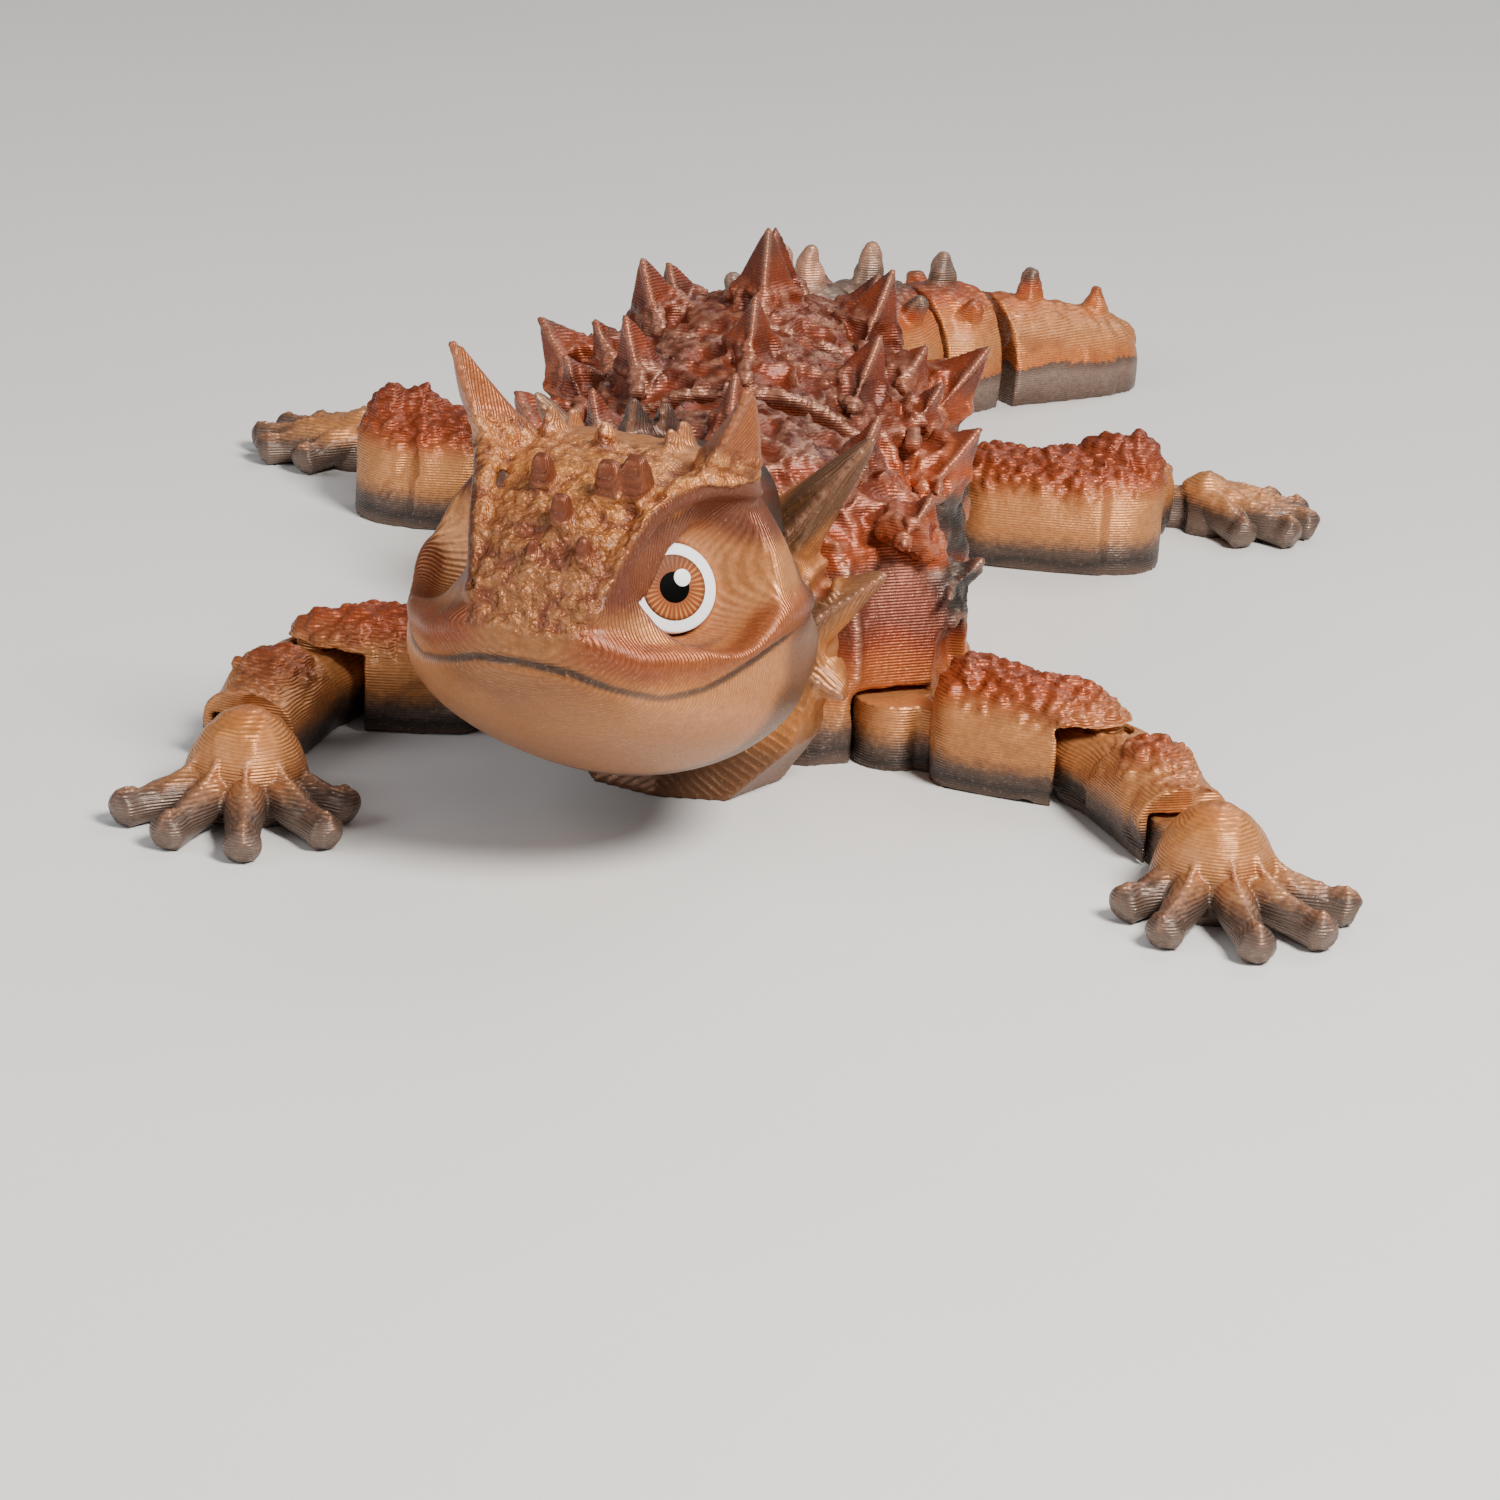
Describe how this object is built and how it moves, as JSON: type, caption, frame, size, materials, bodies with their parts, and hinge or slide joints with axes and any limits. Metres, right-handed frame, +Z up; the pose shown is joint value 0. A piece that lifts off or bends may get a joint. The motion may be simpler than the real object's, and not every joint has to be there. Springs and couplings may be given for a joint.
{
  "type": "articulated horned lizard toy",
  "caption": "Small printed toy of a spiny horned lizard: body, limbs and curling tail in segments that turn on upright hinges, with big inset eyes.",
  "frame": {"origin": "on the floor, on the flat underside of the shoulders segment, under the back of the neck", "axes": "+Z up, +Y towards the tail, -Y towards the snout, +X towards the toy's left"},
  "size_m": [0.0848, 0.1458, 0.033],
  "materials": {
    "silk_red_brown": "silky printed plastic, fine layer lines, dark red-brown over grey",
    "silk_tan": "silky printed plastic, fine layer lines, gold-tan",
    "silk_gold": "silky printed plastic, fine layer lines, gold-brown",
    "silk_orange_tan": "silky printed plastic, fine layer lines, orange-tan over grey",
    "silk_taupe": "silky printed plastic, fine layer lines, grey-brown toes under a gold dome",
    "eye_white": "smooth satin white",
    "eye_iris": "satin brown",
    "eye_pupil": "gloss black",
    "eye_glint": "gloss white"
  },
  "bodies": {
    "shoulders": {"shoulders": "silk_red_brown"},
    "neck": {"neck": "silk_tan"},
    "head": {"head": "silk_gold", "eye_white_left": "eye_white", "eye_iris_left": "eye_iris", "eye_pupil_left": "eye_pupil", "eye_glint_left": "eye_glint", "eye_white_right": "eye_white", "eye_iris_right": "eye_iris", "eye_pupil_right": "eye_pupil", "eye_glint_right": "eye_glint"},
    "chest": {"chest": "silk_red_brown"},
    "belly": {"belly": "silk_red_brown"},
    "hip": {"hip": "silk_red_brown"},
    "tail_1": {"tail_1": "silk_red_brown"},
    "tail_2": {"tail_2": "silk_red_brown"},
    "tail_3": {"tail_3": "silk_red_brown"},
    "tail_4": {"tail_4": "silk_red_brown"},
    "tail_5": {"tail_5": "silk_red_brown"},
    "tail_6": {"tail_6": "silk_red_brown"},
    "tail_7": {"tail_7": "silk_red_brown"},
    "upper_arm_left": {"upper_arm_left": "silk_orange_tan"},
    "forearm_left": {"forearm_left": "silk_orange_tan"},
    "hand_left": {"hand_left": "silk_taupe"},
    "thigh_left": {"thigh_left": "silk_orange_tan"},
    "shin_left": {"shin_left": "silk_orange_tan"},
    "foot_left": {"foot_left": "silk_taupe"},
    "upper_arm_right": {"upper_arm_right": "silk_orange_tan"},
    "forearm_right": {"forearm_right": "silk_orange_tan"},
    "hand_right": {"hand_right": "silk_taupe"},
    "thigh_right": {"thigh_right": "silk_orange_tan"},
    "shin_right": {"shin_right": "silk_orange_tan"},
    "foot_right": {"foot_right": "silk_taupe"}
  },
  "joints": [
    {"name": "neck_turn", "type": "hinge", "parent": "shoulders", "child": "neck", "pos_m": [-0.00324, 0.0012, 0], "axis": [0, 0, 1], "range_deg": [-6, 12]},
    {"name": "head_turn", "type": "hinge", "parent": "neck", "child": "head", "pos_m": [-0.0062, -0.0103, 0.0105], "axis": [0, 0, 1], "range_deg": [-6, 14]},
    {"name": "chest_turn", "type": "hinge", "parent": "shoulders", "child": "chest", "pos_m": [-0.0022, 0.0125, 0], "axis": [0, 0, 1], "range_deg": [-10, 10]},
    {"name": "belly_turn", "type": "hinge", "parent": "chest", "child": "belly", "pos_m": [-0.0014, 0.027, 0], "axis": [0, 0, 1], "range_deg": [-10, 10]},
    {"name": "hip_turn", "type": "hinge", "parent": "belly", "child": "hip", "pos_m": [-0.0009, 0.0415, 0], "axis": [0, 0, 1], "range_deg": [-9, 9]},
    {"name": "tail_1_turn", "type": "hinge", "parent": "hip", "child": "tail_1", "pos_m": [-0.0002, 0.0602, 0], "axis": [0, 0, 1], "range_deg": [-15, 15]},
    {"name": "tail_2_turn", "type": "hinge", "parent": "tail_1", "child": "tail_2", "pos_m": [0.0002, 0.071, 0], "axis": [0, 0, 1], "range_deg": [-6, 24]},
    {"name": "tail_3_turn", "type": "hinge", "parent": "tail_2", "child": "tail_3", "pos_m": [0.0034, 0.0806, 0], "axis": [0, 0, 1], "range_deg": [-5, 24]},
    {"name": "tail_4_turn", "type": "hinge", "parent": "tail_3", "child": "tail_4", "pos_m": [0.0094, 0.0883, 0], "axis": [0, 0, 1], "range_deg": [-5, 24]},
    {"name": "tail_5_turn", "type": "hinge", "parent": "tail_4", "child": "tail_5", "pos_m": [0.016, 0.0924, 0], "axis": [0, 0, 1], "range_deg": [-10, 20]},
    {"name": "tail_6_turn", "type": "hinge", "parent": "tail_5", "child": "tail_6", "pos_m": [0.02755, 0.09791, 0], "axis": [0, 0, 1], "range_deg": [-70, 6]},
    {"name": "tail_7_turn", "type": "hinge", "parent": "tail_6", "child": "tail_7", "pos_m": [0.02533, 0.10684, 0], "axis": [0, 0, 1], "range_deg": [-40, 12]},
    {"name": "upper_arm_left_turn", "type": "hinge", "parent": "shoulders", "child": "upper_arm_left", "pos_m": [0.00957, 0.00036, 0], "axis": [0, 0, 1], "range_deg": [-25, 15]},
    {"name": "forearm_left_turn", "type": "hinge", "parent": "upper_arm_left", "child": "forearm_left", "pos_m": [0.02394, -0.00459, 0], "axis": [0, 0, 1], "range_deg": [-18, 30]},
    {"name": "hand_left_turn", "type": "hinge", "parent": "forearm_left", "child": "hand_left", "pos_m": [0.02843, -0.01572, 0], "axis": [0, 0, 1], "range_deg": [-25, 25]},
    {"name": "thigh_left_turn", "type": "hinge", "parent": "hip", "child": "thigh_left", "pos_m": [0.01081, 0.04967, 0], "axis": [0, 0, 1], "range_deg": [-9, 15]},
    {"name": "shin_left_turn", "type": "hinge", "parent": "thigh_left", "child": "shin_left", "pos_m": [0.02735, 0.04822, 0], "axis": [0, 0, 1], "range_deg": [-12, 12]},
    {"name": "foot_left_turn", "type": "hinge", "parent": "shin_left", "child": "foot_left", "pos_m": [0.02881, 0.05862, 0], "axis": [0, 0, 1], "range_deg": [-12, 12]},
    {"name": "upper_arm_right_turn", "type": "hinge", "parent": "shoulders", "child": "upper_arm_right", "pos_m": [-0.01503, 0.00351, 0], "axis": [0, 0, 1], "range_deg": [-10, 20]},
    {"name": "forearm_right_turn", "type": "hinge", "parent": "upper_arm_right", "child": "forearm_right", "pos_m": [-0.03019, 0.00245, 0], "axis": [0, 0, 1], "range_deg": [-30, 16]},
    {"name": "hand_right_turn", "type": "hinge", "parent": "forearm_right", "child": "hand_right", "pos_m": [-0.03338, -0.00912, 0], "axis": [0, 0, 1], "range_deg": [-25, 22]},
    {"name": "thigh_right_turn", "type": "hinge", "parent": "hip", "child": "thigh_right", "pos_m": [-0.01197, 0.05052, 0], "axis": [0, 0, 1], "range_deg": [-15, 9]},
    {"name": "shin_right_turn", "type": "hinge", "parent": "thigh_right", "child": "shin_right", "pos_m": [-0.02851, 0.04907, 0], "axis": [0, 0, 1], "range_deg": [-3, 12]},
    {"name": "foot_right_turn", "type": "hinge", "parent": "shin_right", "child": "foot_right", "pos_m": [-0.02668, 0.05941, 0], "axis": [0, 0, 1], "range_deg": [-12, 12]}
  ]
}
